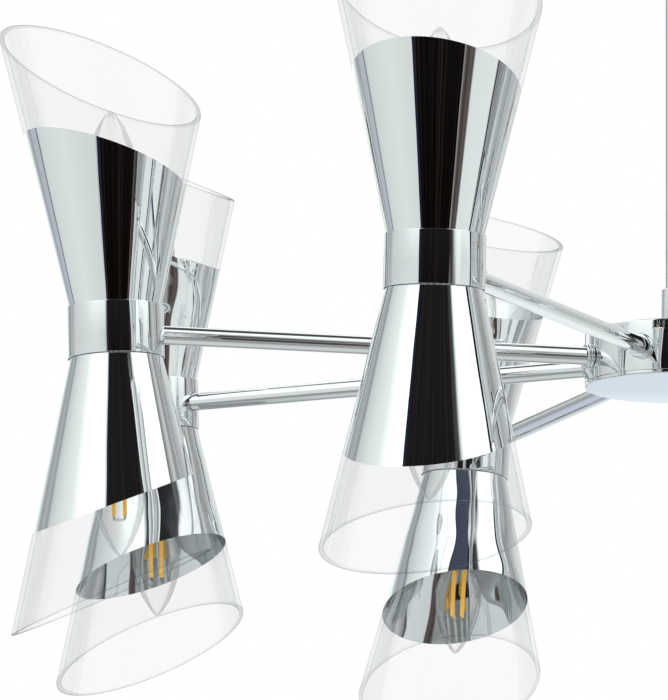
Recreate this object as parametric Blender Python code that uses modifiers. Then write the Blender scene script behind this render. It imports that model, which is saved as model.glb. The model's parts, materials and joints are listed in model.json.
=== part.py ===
"""Chandelier with eight straight arms, each ending in a chrome collar that holds a pair of glass
cones, one opening up and one opening down, with a candle lamp in each.

The origin is the centre of the ceiling face.  +Z is up, and everything hangs below it.
Each arm has an empty at the hub axis: its X axis runs out along the arm and is the axis that
the arm turns on.  Each collar has another empty at its centre, whose Z axis is the shades' axis.
"""
import math

import bmesh
import bpy
from mathutils import Matrix, Vector

MM = 0.001
GAP = 0.3 * MM                      # clearance between neighbouring pieces

# Layout
ARM_COUNT = 8
ARM_PLANE_Z = -470 * MM             # height of the arms' axes at the hub
ARM_REACH = 408 * MM                # hub axis to collar centre
FIRST_HEADING = 22.85               # degrees from +X to arm_1, anticlockwise from above

# How each arm was left when it was put up, in degrees
ARM_SWING = (0, 0, 0, -0.6, -0.2, 0, 0, 0)                # away from its even place round the hub
ARM_DROOP = (0.75, 0.75, 0.7, 0.65, 1.2, 0.45, 0.75, 0.75)      # falling away from the level
ARM_SET = (0, 0, 3.4, -3.5, -0.4, -2.4, 0, 0)             # turned about its own axis
SHADE_LEAN = (1.7, 1.7, 1.1, 0.2, 2.35, 3.0, 1.7, 1.7)    # upper shade leaning outwards
GLASS_TURN = ((0, 0), (0, 0), (-1.3, 3.6), (2.8, -6.5), (0.8, 3.7), (6.8, 6.5),
              (0, 0), (0, 0))       # upper and lower glass turned in the collar

# Arm tube and suspension rod
TUBE_R = 6.35 * MM
TUBE_BORE_R = 4.95 * MM
ROD_R = 8 * MM
ROD_BORE_R = 6.6 * MM
SHOULDER_R = 8.6 * MM
SHOULDER_WAIST_R = 7.15 * MM        # groove between the shoulder's two beads
SHOULDER_LENGTH = 5 * MM
NUT_R = 9.5 * MM
NUT_LENGTH = 3 * MM
ARM_INNER_END = 52 * MM             # start of the tube, from the hub axis
NUT_TO_WALL = 1.2 * MM              # room for the nut's flat face inside the round wall
ARM_END_TO_CENTRE = 7.8 * MM        # end of the tube, from the collar's axis
HOLE_R = TUBE_R + GAP

# Hub drum
HUB_R = 63.7 * MM
HUB_TOP = 18.5 * MM                 # above the arms' plane
HUB_BOTTOM = -19.5 * MM
HUB_WALL = 2 * MM
COVER_THICK = 2.5 * MM
COVER_SPIGOT = 5 * MM
HUB_EDGE_R = 1.2 * MM

# Suspension
FERRULE_R = 10.8 * MM
FERRULE_TOP = 49.5 * MM             # above the arms' plane
BAR_LENGTH, BAR_WIDTH, BAR_THICK = 96 * MM, 20 * MM, 3 * MM
BAR_HOLE_SPACING = 70 * MM
BAR_HOLE_R = 2.6 * MM
WIRE_HOLE_R = 2.5 * MM
WIRE_HOLE_DROP = 10 * MM            # wire outlet in the rod, below the ceiling
CANOPY_R = 60 * MM
CANOPY_DEPTH = 28 * MM
CANOPY_WALL = 1.2 * MM
CANOPY_EDGE_R = 4 * MM
GRIP_R, GRIP_LENGTH = 12 * MM, 10 * MM

# Collar
COLLAR_R = 32.7 * MM
COLLAR_HALF = 17.5 * MM
COLLAR_LIP = 0.7 * MM
WEB_HALF = 8.5 * MM
NIPPLE_R = 5 * MM

# Glass cone: outer radius NECK_R at the collar's end, widening by CONE_SLOPE with height
NECK_R = 31.3 * MM
CONE_SLOPE = 0.2307
GLASS_WALL = 3 * MM
RIM_REACH = 90 * MM                 # more than the rim's farthest point is from the axis
RIM_CUT_DEPTH = 120 * MM
BASE_HOLE_R = 14.8 * MM
RIM_HEIGHT, RIM_SLOPE = 172.7 * MM, 0.4358          # slanting rim plane: height on the axis, slope
PLATING_HEIGHT, PLATING_SLOPE = 114.3 * MM, 0.3713  # slanting edge of the mirror plating

# Lampholder and candle lamp, heights from the collar's centre
HOLDER_R = 13.5 * MM
HOLDER_MOUTH = 77 * MM
HOLDER_BORE_R = 7.4 * MM
HOLDER_FLOOR = 51.5 * MM
SHADE_RING_R, SHADE_RING_THICK = 20 * MM, 4 * MM
LAMP_BASE, LAMP_TIP = 52 * MM, 152 * MM
LAMP_R = 17.5 * MM
LAMP_WIDEST = 108 * MM
WAIST_R, WAIST_Z = 15.05 * MM, 92 * MM              # bulb narrowing towards its neck
NECK_OF_BULB_R = 9.6 * MM
CAP_END_R, CAP_TAPER = 2.8 * MM, 4 * MM
BULB_BLUNTNESS = 0.7                # 1 gives a cosine outline above the widest point
CAP_R = 6.9 * MM
CAP_TOP = 79 * MM

# Cylinder long enough to drill through the hub's wall, the bar or the rod
DRILL_LENGTH = 20 * MM

# Facets round each turned piece
SHADE_SIDES = 20
TUBE_SIDES = 10
HUB_SIDES = 32
HOLE_SIDES = 16

COLLECTION = "multi_arm_chandelier"


def clear_scene():
    for obj in list(bpy.data.objects):
        bpy.data.objects.remove(obj, do_unlink=True)


def new_collection(name):
    collection = bpy.data.collections.new(name)
    bpy.context.scene.collection.children.link(collection)
    return collection


def material(name, colour, roughness, metallic=0.0, transmission=0.0):
    mat = bpy.data.materials.new(name)
    mat.use_nodes = True
    shader = mat.node_tree.nodes["Principled BSDF"]
    shader.inputs["Base Color"].default_value = (*colour, 1.0)
    shader.inputs["Roughness"].default_value = roughness
    shader.inputs["Metallic"].default_value = metallic
    shader.inputs["Transmission Weight"].default_value = transmission
    return mat


def chrome(name):
    return material(name, (0.80, 0.82, 0.83), 0.05, metallic=1.0)


def add_object(name, mesh, collection, parent=None, turn=(0, 0, 0)):
    obj = bpy.data.objects.new(name, mesh)
    obj.rotation_euler = turn
    obj.parent = parent
    collection.objects.link(obj)
    return obj


def evaluated_mesh(obj):
    graph = bpy.context.evaluated_depsgraph_get()
    return bpy.data.meshes.new_from_object(obj.evaluated_get(graph))


def turned_mesh(name, profile, sides, closed):
    """Revolve (radius, height) points about Z.  The outer side runs top to bottom."""
    count = len(profile)
    edges = [(i, i + 1) for i in range(count - 1)]
    if closed:
        edges.append((count - 1, 0))
    outline = bpy.data.meshes.new(name + "_profile")
    outline.from_pydata([(r, 0, z) for r, z in profile], edges, [])
    obj = bpy.data.objects.new(name + "_profile", outline)
    bpy.context.scene.collection.objects.link(obj)
    screw = obj.modifiers.new("revolve", 'SCREW')
    screw.axis = 'Z'
    screw.angle = 2 * math.pi
    screw.steps = screw.render_steps = sides
    screw.use_merge_vertices = True
    screw.merge_threshold = 0.00001
    mesh = evaluated_mesh(obj)
    mesh.name = name
    bpy.data.objects.remove(obj)
    bpy.data.meshes.remove(outline)
    smooth_mesh(mesh)
    return mesh


def smooth_mesh(mesh):
    mesh.shade_smooth()
    mesh.set_sharp_from_angle(angle=math.radians(40))


def arc(centre_r, centre_z, radius, start, end, steps):
    """Points on a circular arc in the profile plane, angles in degrees from the +R axis."""
    points = []
    for i in range(steps + 1):
        angle = math.radians(start + (end - start) * i / steps)
        points.append((centre_r + radius * math.cos(angle), centre_z + radius * math.sin(angle)))
    return points


def cylinder_cutter(name, radius, length, matrix, cutters, sides=HOLE_SIDES):
    """A cylinder along the matrix's Z axis, centred on its origin."""
    bm = bmesh.new()
    bmesh.ops.create_cone(bm, cap_ends=True, segments=sides, radius1=radius, radius2=radius,
                          depth=length)
    mesh = bpy.data.meshes.new(name)
    bm.to_mesh(mesh)
    bm.free()
    cutter = add_object(name, mesh, cutters)
    cutter.matrix_world = matrix
    hide_cutter(cutter)
    return cutter


def box_cutter(name, size, matrix, cutters):
    bm = bmesh.new()
    bmesh.ops.create_cube(bm, size=1.0)
    bmesh.ops.scale(bm, vec=size, verts=bm.verts)
    mesh = bpy.data.meshes.new(name)
    bm.to_mesh(mesh)
    bm.free()
    cutter = add_object(name, mesh, cutters)
    cutter.matrix_world = matrix
    hide_cutter(cutter)
    return cutter


def hide_cutter(cutter):
    cutter.hide_render = True
    cutter.display_type = 'WIRE'


def boolean(obj, tool, operation='DIFFERENCE'):
    modifier = obj.modifiers.new(operation.lower() + "_" + tool.name, 'BOOLEAN')
    modifier.operation = operation
    modifier.solver = 'EXACT'
    modifier.object = tool


def along_x(distance=0.0):
    """Turn a Z-axis shape so that it runs along X, then move it out along X."""
    return Matrix.Translation((distance, 0, 0)) @ Matrix.Rotation(math.pi / 2, 4, 'Y')


def cone_radius(height):
    return NECK_R + CONE_SLOPE * (height - COLLAR_HALF)


def plane_matrix(height, slope):
    """A frame whose XY plane is the slanting plane that crosses the axis at this height."""
    return Matrix.Translation((0, 0, height)) @ Matrix.Rotation(-math.atan(slope), 4, 'Y')


def add_arm_axis(number, collection):
    """The empty on the hub axis whose X axis is the arm's turning axis."""
    axis = add_object(f"arm_{number}_axis", None, collection)
    axis.location = (0, 0, ARM_PLANE_Z)
    heading = FIRST_HEADING + 360 / ARM_COUNT * (number - 1) + ARM_SWING[number - 1]
    axis.matrix_world = (Matrix.Translation((0, 0, ARM_PLANE_Z))
                         @ Matrix.Rotation(math.radians(heading), 4, 'Z')
                         @ Matrix.Rotation(math.radians(ARM_DROOP[number - 1]), 4, 'Y')
                         @ Matrix.Rotation(math.radians(ARM_SET[number - 1]), 4, 'X'))
    return axis


def add_shade_axis(number, arm_axis, collection):
    """The empty at the collar's centre whose Z axis is the axis of both shades."""
    axis = add_object(f"shade_{number}_axis", None, collection, arm_axis)
    axis.location = (ARM_REACH, 0, 0)
    axis.rotation_euler = (0, math.radians(SHADE_LEAN[number - 1] - ARM_DROOP[number - 1]), 0)
    return axis


def arm_mesh():
    """Tube with a double-beaded shoulder outside the drum and its lock nut inside."""
    start, end = ARM_INNER_END, ARM_REACH - ARM_END_TO_CENTRE
    nut_out = HUB_R - HUB_WALL - NUT_TO_WALL
    bead = SHOULDER_LENGTH / 2
    shoulder = HUB_R + GAP
    profile = [(TUBE_R, end),
               (TUBE_R, shoulder + SHOULDER_LENGTH),
               (SHOULDER_R, shoulder + SHOULDER_LENGTH * 0.8),
               (SHOULDER_WAIST_R, shoulder + bead),
               (SHOULDER_R, shoulder + SHOULDER_LENGTH * 0.2),
               (TUBE_R, shoulder),
               (TUBE_R, nut_out),
               (NUT_R, nut_out),
               (NUT_R, nut_out - NUT_LENGTH),
               (TUBE_R, nut_out - NUT_LENGTH),
               (TUBE_R, start),
               (TUBE_BORE_R, start),
               (TUBE_BORE_R, end)]
    mesh = turned_mesh("arm", profile, TUBE_SIDES, closed=True)
    mesh.transform(along_x())
    return mesh


def collar_mesh():
    """Turned ring with a thick web: recesses for the two glass necks, and the nipple's bore."""
    inner = COLLAR_R - COLLAR_LIP
    profile = [(COLLAR_R, COLLAR_HALF), (COLLAR_R, -COLLAR_HALF),
               (inner, -COLLAR_HALF), (inner, -WEB_HALF),
               (NIPPLE_R + GAP, -WEB_HALF), (NIPPLE_R + GAP, WEB_HALF),
               (inner, WEB_HALF), (inner, COLLAR_HALF)]
    return turned_mesh("collar", profile, SHADE_SIDES, closed=True)


def shade_mesh(cutters, glass, plating):
    """Glass cone with a holed base and a slanting rim; its lower outside is mirror plated."""
    base = WEB_HALF + GAP
    floor = base + GLASS_WALL
    top = RIM_HEIGHT + RIM_SLOPE * RIM_REACH
    profile = [(cone_radius(top), top), (cone_radius(base), base), (BASE_HOLE_R, base),
               (BASE_HOLE_R, floor), (cone_radius(floor) - GLASS_WALL, floor),
               (cone_radius(top) - GLASS_WALL, top)]
    blank = add_object("shade_blank", turned_mesh("shade_blank", profile, SHADE_SIDES, True),
                       cutters)
    place = plane_matrix(RIM_HEIGHT, RIM_SLOPE) @ Matrix.Translation((0, 0, RIM_CUT_DEPTH / 2))
    size = (4 * RIM_REACH, 4 * RIM_REACH, RIM_CUT_DEPTH)
    boolean(blank, box_cutter("rim_cutter", size, place, cutters))
    bpy.context.view_layer.update()
    mesh = evaluated_mesh(blank)
    mesh.name = "shade"
    bpy.data.objects.remove(blank)
    mesh.materials.clear()
    mesh.materials.append(glass)
    mesh.materials.append(plating)
    mark_plating(mesh)
    smooth_mesh(mesh)
    return mesh


def mark_plating(mesh):
    """Split the outside of the cone along the plating's edge and give the part below it slot 1."""
    frame = plane_matrix(PLATING_HEIGHT, PLATING_SLOPE)
    origin, normal = frame.translation, frame.col[2].to_3d()
    bm = bmesh.new()
    bm.from_mesh(mesh)
    bm.normal_update()
    outside = [f for f in bm.faces if is_cone_outside(f)]
    geometry = outside + list({e for f in outside for e in f.edges})
    geometry += list({v for f in outside for v in f.verts})
    bmesh.ops.bisect_plane(bm, geom=geometry, dist=1e-7, plane_co=origin, plane_no=normal)
    bm.normal_update()
    for face in bm.faces:
        below = (face.calc_center_median() - origin).dot(normal) < 0
        face.material_index = 1 if below and is_cone_outside(face) else 0
    bm.to_mesh(mesh)
    bm.free()


def is_cone_outside(face):
    centre = face.calc_center_median()
    radial = Vector((centre.x, centre.y, 0)).normalized()
    return face.normal.dot(radial) > 0.5


def lampholders_mesh():
    """Two lampholders back to back on one threaded nipple, each with its glass-retaining ring."""
    ring_low = WEB_HALF + GAP + GLASS_WALL + GAP
    ring_high = ring_low + SHADE_RING_THICK
    start = WEB_HALF + GAP
    upper = [(HOLDER_BORE_R, HOLDER_MOUTH), (HOLDER_R, HOLDER_MOUTH), (HOLDER_R, ring_high),
             (SHADE_RING_R, ring_high), (SHADE_RING_R, ring_low), (HOLDER_R, ring_low),
             (HOLDER_R, start), (NIPPLE_R, start)]
    lower = [(r, -z) for r, z in reversed(upper)]
    profile = [(0, HOLDER_FLOOR), (HOLDER_BORE_R, HOLDER_FLOOR)] + upper
    profile += lower + [(HOLDER_BORE_R, -HOLDER_FLOOR), (0, -HOLDER_FLOOR)]
    return turned_mesh("lampholders", profile, TUBE_SIDES, closed=False)


def lamp_mesh():
    """Candle lamp: pointed bulb, widest a little above its neck, on a screw cap."""
    bulb = [(0, LAMP_TIP)]
    for share in (0.92, 0.75, 0.5, 0.25, 0):
        height = LAMP_WIDEST + share * (LAMP_TIP - LAMP_WIDEST)
        bulb.append((LAMP_R * math.cos(share * math.pi / 2) ** BULB_BLUNTNESS, height))
    bulb += [(WAIST_R, WAIST_Z), (NECK_OF_BULB_R, CAP_TOP)]
    cap = [(CAP_R, CAP_TOP), (CAP_R, LAMP_BASE + CAP_TAPER), (CAP_END_R, LAMP_BASE),
           (0, LAMP_BASE)]
    return turned_mesh("lamp", bulb + cap, TUBE_SIDES, closed=False)


def add_hub(arm_axes, parts, cutters):
    """Drum with a hole for every arm and one for the rod, and the cover that closes it below."""
    seam = HUB_BOTTOM + COVER_THICK
    inner = HUB_R - HUB_WALL
    centre = ROD_R + GAP
    wall = (arc(HUB_R - HUB_EDGE_R, HUB_TOP - HUB_EDGE_R, HUB_EDGE_R, 90, 0, 1)
            + [(HUB_R, seam + GAP), (inner, seam + GAP), (inner, HUB_TOP - HUB_WALL),
               (centre, HUB_TOP - HUB_WALL), (centre, HUB_TOP)])
    housing = add_object("hub_housing", turned_mesh("hub_housing", wall, HUB_SIDES, True), parts)
    housing.location = (0, 0, ARM_PLANE_Z)
    for number, axis in enumerate(arm_axes, 1):
        place = axis.matrix_world @ along_x(HUB_R - HUB_WALL / 2)
        boolean(housing, cylinder_cutter(f"arm_{number}_hole", HOLE_R, DRILL_LENGTH, place,
                                         cutters))
    housing.data.materials.append(chrome("hub_chrome"))

    spigot = inner - GAP
    disc = ([(0, seam), (spigot - HUB_WALL, seam), (spigot - HUB_WALL, seam + COVER_SPIGOT),
             (spigot, seam + COVER_SPIGOT), (spigot, seam), (HUB_R, seam)]
            + arc(HUB_R - HUB_EDGE_R, HUB_BOTTOM + HUB_EDGE_R, HUB_EDGE_R, 0, -90, 1)
            + [(0, HUB_BOTTOM)])
    cover = add_object("hub_cover", turned_mesh("hub_cover", disc, HUB_SIDES, False), parts)
    cover.location = (0, 0, ARM_PLANE_Z)
    cover.data.materials.append(chrome("cover_chrome"))


def add_suspension(parts, cutters):
    """Rod with its ferrule and lock flange at the hub and its mounting bar at the ceiling."""
    plate_top = ARM_PLANE_Z + HUB_TOP
    flange_top = plate_top - HUB_WALL - GAP
    tube_top = -BAR_THICK + GAP
    profile = [(ROD_R, tube_top),
               (ROD_R, ARM_PLANE_Z + FERRULE_TOP),
               (FERRULE_R, ARM_PLANE_Z + FERRULE_TOP),
               (FERRULE_R, plate_top + GAP), (ROD_R, plate_top + GAP),
               (ROD_R, flange_top), (FERRULE_R, flange_top),
               (FERRULE_R, flange_top - NUT_LENGTH), (ROD_R, flange_top - NUT_LENGTH),
               (ROD_R, flange_top - 2 * NUT_LENGTH),
               (ROD_BORE_R, flange_top - 2 * NUT_LENGTH), (ROD_BORE_R, tube_top)]
    rod = add_object("suspension_rod", turned_mesh("suspension_rod", profile, HOLE_SIDES, True),
                     parts)
    bar_place = Matrix.Translation((0, 0, -BAR_THICK / 2))
    bar = box_cutter("mounting_bar", (BAR_LENGTH, BAR_WIDTH, BAR_THICK), bar_place, cutters)
    boolean(rod, bar, 'UNION')
    for number, side in enumerate((-1, 1), 1):
        place = Matrix.Translation((side * BAR_HOLE_SPACING / 2, 0, 0))
        boolean(rod, cylinder_cutter(f"bar_hole_{number}", BAR_HOLE_R, DRILL_LENGTH, place,
                                     cutters))
    place = Matrix.Translation((0, 0, -WIRE_HOLE_DROP)) @ along_x()
    boolean(rod, cylinder_cutter("wire_hole", WIRE_HOLE_R, DRILL_LENGTH, place, cutters))
    rod.data.materials.append(chrome("rod_chrome"))


def add_canopy(parts):
    """Ceiling cup that hides the mounting bar, with the grip that clamps it on the rod."""
    inner, floor = CANOPY_R - CANOPY_WALL, -CANOPY_DEPTH
    edge = CANOPY_EDGE_R
    profile = ([(CANOPY_R, 0)] + arc(CANOPY_R - edge, floor + edge, edge, 0, -90, 2)
               + [(GRIP_R, floor), (GRIP_R, floor - GRIP_LENGTH),
                  (ROD_R + GAP, floor - GRIP_LENGTH), (ROD_R + GAP, floor + CANOPY_WALL),
                  (inner - edge, floor + CANOPY_WALL),
                  (inner, floor + edge), (inner, 0)])
    canopy = add_object("ceiling_canopy", turned_mesh("ceiling_canopy", profile, HUB_SIDES, True),
                        parts)
    canopy.data.materials.append(chrome("canopy_chrome"))


def add_collar(number, arm_axis, shade_axis, mesh, parts, cutters):
    """Collar, bored from the arm's side as far as the nipple."""
    collar = add_object(f"collar_{number}", mesh.copy(), parts, shade_axis)
    start, end = ARM_REACH - 1.2 * COLLAR_R, ARM_REACH - NIPPLE_R
    place = arm_axis.matrix_world @ along_x((start + end) / 2)
    boolean(collar, cylinder_cutter(f"collar_{number}_bore", HOLE_R, end - start, place, cutters))


def build():
    clear_scene()
    parts = new_collection(COLLECTION)
    cutters = new_collection(COLLECTION + "_cutters")

    glass = material("shade_glass", (0.96, 0.97, 0.97), 0.02, transmission=1.0)
    meshes = {"arm": arm_mesh(), "collar": collar_mesh(), "lamp": lamp_mesh(),
              "lampholders": lampholders_mesh(),
              "shade": shade_mesh(cutters, glass, chrome("mirror_plating"))}
    meshes["arm"].materials.append(chrome("arm_chrome"))
    meshes["collar"].materials.append(chrome("collar_chrome"))
    meshes["lamp"].materials.append(material("lamp_glass", (1.0, 0.86, 0.62), 0.05,
                                             transmission=0.8))
    meshes["lampholders"].materials.append(material("holder_plastic", (0.85, 0.85, 0.83), 0.4))

    upside_down = (math.pi, 0, 0)
    arm_axes = [add_arm_axis(number, parts) for number in range(1, ARM_COUNT + 1)]
    shade_axes = [add_shade_axis(number, axis, parts) for number, axis in enumerate(arm_axes, 1)]
    bpy.context.view_layer.update()
    for number, (arm_axis, shade_axis) in enumerate(zip(arm_axes, shade_axes), 1):
        add_object(f"arm_{number}", meshes["arm"], parts, arm_axis)
        add_collar(number, arm_axis, shade_axis, meshes["collar"], parts, cutters)
        add_object(f"lampholders_{number}", meshes["lampholders"], parts, shade_axis)
        upper_turn, lower_turn = (math.radians(turn) for turn in GLASS_TURN[number - 1])
        add_object(f"upper_shade_{number}", meshes["shade"], parts, shade_axis, (0, 0, upper_turn))
        add_object(f"lower_shade_{number}", meshes["shade"], parts, shade_axis,
                   (math.pi, 0, lower_turn))
        add_object(f"upper_lamp_{number}", meshes["lamp"], parts, shade_axis)
        add_object(f"lower_lamp_{number}", meshes["lamp"], parts, shade_axis, upside_down)

    add_hub(arm_axes, parts, cutters)
    add_suspension(parts, cutters)
    add_canopy(parts)


build()
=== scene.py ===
"""Looks of the eight-arm chandelier: polished chrome, half-mirrored clear glass cones and
filament lamps, under a white studio surround.

Every unit, one per arm, is built in two local frames worked out from the joints:
  the arm frame, origin on the hub axis, X out along the arm;
  the shade frame, origin at the collar's centre, Z up the shades' axis, X outwards.
"""
import json
import math

import bmesh
import bpy
from mathutils import Matrix, Vector


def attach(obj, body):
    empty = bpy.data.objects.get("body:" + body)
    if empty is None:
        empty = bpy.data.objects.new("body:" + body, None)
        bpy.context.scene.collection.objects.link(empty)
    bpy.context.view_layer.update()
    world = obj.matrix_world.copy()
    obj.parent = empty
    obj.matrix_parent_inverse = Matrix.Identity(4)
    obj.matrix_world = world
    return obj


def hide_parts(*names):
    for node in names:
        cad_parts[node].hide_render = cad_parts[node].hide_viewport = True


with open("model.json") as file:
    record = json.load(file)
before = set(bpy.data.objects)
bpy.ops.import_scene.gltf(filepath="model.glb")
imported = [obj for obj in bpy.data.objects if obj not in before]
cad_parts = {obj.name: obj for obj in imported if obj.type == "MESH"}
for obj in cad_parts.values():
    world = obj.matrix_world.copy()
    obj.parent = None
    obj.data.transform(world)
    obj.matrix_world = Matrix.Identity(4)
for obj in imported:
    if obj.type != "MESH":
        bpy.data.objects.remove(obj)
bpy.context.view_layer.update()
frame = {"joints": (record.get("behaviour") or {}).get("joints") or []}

MM = 0.001
ARMS = range(1, 9)
JOINTS = {joint["name"]: joint for joint in frame["joints"]}

# Sizes that the frame was built to
GAP = 0.3 * MM
TUBE_R, TUBE_BORE_R = 6.35 * MM, 4.95 * MM
HOLE_R = TUBE_R + GAP
ROD_R, ROD_BORE_R = 8 * MM, 6.6 * MM
SHOULDER_R = 8.6 * MM
NUT_R, NUT_LENGTH, NUT_TO_WALL = 9.5 * MM, 3 * MM, 1.2 * MM
HUB_R, HUB_WALL, COVER_THICK, COVER_SPIGOT = 63.7 * MM, 2 * MM, 2.5 * MM, 5 * MM
HUB_TOP, HUB_BOTTOM = 18.5 * MM, -19.5 * MM
ARM_REACH, ARM_INNER_END, ARM_END_TO_CENTRE = 408 * MM, 52 * MM, 7.8 * MM
NIPPLE_HOLE_R = 5.3 * MM
COLLAR_R, COLLAR_HALF, COLLAR_LIP, WEB_HALF = 32.7 * MM, 17.5 * MM, 0.7 * MM, 8.5 * MM
NECK_R, CONE_SLOPE, GLASS_WALL = 31.3 * MM, 0.2307, 3 * MM
BASE_HOLE_R = 14.8 * MM
RIM_HEIGHT, RIM_SLOPE = 172.7 * MM, 0.4358
PLATING_HEIGHT, PLATING_SLOPE = 114.3 * MM, 0.3713
# degrees that each unit's upper and lower glass is turned in the collar
GLASS_TURN = ((0, 0), (0, 0), (-1.3, 3.6), (2.8, -6.5), (0.8, 3.7), (6.8, 6.5),
              (0, 0), (0, 0))
HOLDER_R, HOLDER_BORE_R, HOLDER_MOUTH, HOLDER_FLOOR = 13.5 * MM, 7.4 * MM, 77 * MM, 51.5 * MM
SHADE_RING_R, SHADE_RING_THICK = 20 * MM, 4 * MM
SHADE_RING_LOW = WEB_HALF + 2 * GAP + GLASS_WALL
LAMP_BASE, LAMP_TIP, LAMP_WIDEST, LAMP_R = 52 * MM, 152 * MM, 108 * MM, 17.5 * MM
BULB_BLUNTNESS = 0.7                                # power of the bulb's cosine outline
CAP_R = 6.9 * MM
FERRULE_R, FERRULE_TOP = 10.8 * MM, 49.5 * MM
BAR_LENGTH, BAR_WIDTH, BAR_THICK = 96 * MM, 20 * MM, 3 * MM
BAR_HOLE_R, BAR_HOLE_SPACING = 2.6 * MM, 70 * MM
CANOPY_R, CANOPY_DEPTH, CANOPY_WALL = 60 * MM, 28 * MM, 1.2 * MM
GRIP_R, GRIP_LENGTH = 12 * MM, 10 * MM
HUB_CENTRE = Vector(JOINTS["hub_turn"]["pos_m"])

# Details that only the visual pieces have
BEAD_R = 1.25 * MM                                  # the shoulder's two beads
MOUTH_STEP = 1.2 * MM                               # lampholder's smooth mouth, inside its thread
SKIRT_TOP, THREAD_TOP = 61 * MM, 60 * MM
HOLDER_PITCH, HOLDER_THREAD_DEPTH = 2.5 * MM, 0.5 * MM
HOLDER_FOOT_BORE_R = 4.8 * MM
SHADE_RING_BORE_R, KNURL_DEPTH = 13.6 * MM, 0.35 * MM
BULB_WALL, BULB_NECK_R = 0.8 * MM, 6.4 * MM
NECK_SWELL = 1.15                                   # as BULB_BLUNTNESS, below the widest place
CAP_TOP = 78 * MM
CAP_PITCH, CAP_THREAD_DEPTH = 2.82 * MM, 0.8 * MM
SHELL_LOW, INSULATOR_LOW = LAMP_BASE + 4.2 * MM, LAMP_BASE + 1 * MM
RIM_ROUND = 1.1 * MM                                # height of the glass rim's round-over
COAT_NEAR, COAT_FAR = 0.02 * MM, 0.08 * MM          # mirror coat's two faces, off the glass
ROD_TOP = -2.9 * MM                                 # just inside the mounting bar

# What the drills run between, from the hub axis
COLLAR_DRILL = (360 * MM, ARM_REACH)
WALL_DRILL = (55 * MM, 80 * MM)
SIDES = 128                                         # facets round the cones and the collar
SHARP_ANGLE = 35                                    # degrees from which an edge is left sharp


# ---------------------------------------------------------------- camera and surround

CAMERA_PLACE = (-0.0001, -4.3904, -1.2463)
CAMERA_YAW, CAMERA_PITCH, CAMERA_ROLL = 3.10, 10.11, -0.49    # degrees
CAMERA_LENS = 330.6


def turned(axis, degrees):
    return Matrix.Rotation(math.radians(degrees), 4, axis)


def add_camera():
    data = bpy.data.cameras.new("camera")
    data.lens = CAMERA_LENS
    data.sensor_width = 36
    data.clip_start, data.clip_end = 0.05, 200
    camera = bpy.data.objects.new("camera", data)
    camera.matrix_world = (Matrix.Translation(CAMERA_PLACE) @ turned('Z', CAMERA_YAW)
                           @ turned('X', CAMERA_PITCH) @ turned('Y', CAMERA_ROLL)
                           @ turned('X', 90))
    bpy.context.scene.collection.objects.link(camera)
    bpy.context.scene.camera = camera


# Studio surround as the chrome sees it: display brightness, one grey or red, green and blue,
# against the direction in degrees round from the front (-Y), positive towards +X.  255 is
# white, and what is above it is brighter than white.
BAND_LOW = [(-180, (206, 217, 225)), (-168, (196, 205, 215)), (-160, (160, 166, 180)),
            (-145, (192, 197, 211)), (-120, (178, 184, 201)), (-114.5, (172, 178, 196)),
            (-114, 45), (-112.5, 55), (-112, 212), (-65, 221), (-40, 214), (-18, 209),
            (-14, 150), (0, 150), (15, 165), (36, 150), (38, (96, 88, 84)), (41, (58, 50, 47)),
            (46, (92, 86, 84)), (50, (70, 62, 58)), (51.5, 220), (87, 225), (88, 50),
            (91, 45), (92, 138), (98, 165), (104, 210), (111, 150), (121, 184), (138, 212),
            (155, 238), (172, 235)]
BAND_MID = [(-180, 252), (-150, 253), (-143, 225), (-137, 170), (-131, 128), (-127, 172),
            (-110, 183), (-106, 200), (-70, 212), (-40, 219), (-19, 205), (-15, 35), (0, 14),
            (20, 12), (36, 44), (41, 56), (44, 110), (48, 200), (53, 236), (62, 236), (64, 214),
            (88, 222), (91, 212), (92, 52), (96, 62), (98, 150), (108, 196), (116, 203),
            (118, 92), (122, 112), (124, 165), (150, 212)]
BAND_HIGH = [(-180, 212), (-165, 216), (-155, (222, 227, 237)), (-149, 222), (-146, 166),
             (-138, 172), (-120, (158, 167, 174)), (-113, 128), (-110, 198), (-90, 222),
             (-70, 236), (-50, 262), (-20, 262), (-14, 60), (0, 30), (20, 30), (36, 54),
             (42, 74), (44, 205), (49, 262), (91, 262), (93, 110), (96, 140), (102, 196),
             (107, 190), (109, 132), (118, 160), (128, 172), (142, 203), (170, 231), (180, 212)]
BAND_ELEVATIONS = (-9, 5, 28)       # degrees above the level at which each of them holds
# The same against height alone, straight down to straight up, which takes over from the
# bands between these heights
FADE_UP, FADE_DOWN = (36, 48), (-25, -28)
BAND_VERTICAL = [(-90, 225), (-60, 195), (-45, 140), (-34, 150), (-28, 175), (36, 235),
                 (46, 262), (60, 250), (64, 75), (90, 60)]
GREY_TINT = (0.95, 1.0, 0.995)
SURROUND_WHITE = 1.0        # what the camera and matt surfaces see
CHROME_GAIN = 1 / 0.86      # makes up for what the chrome absorbs
OVER_WHITE = 8              # how steeply brightness rises above white

# Dark studio flag in front of the light: its edges, and the plane that it stands in
FLAG_LEFT, FLAG_RIGHT, FLAG_Y = -0.641, 0.37, -1.136
FLAG_BOTTOM, FLAG_TOP = -2.2, 1.6
FLAG_MIDDLE = (FLAG_TOP + FLAG_BOTTOM) / 2
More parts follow.
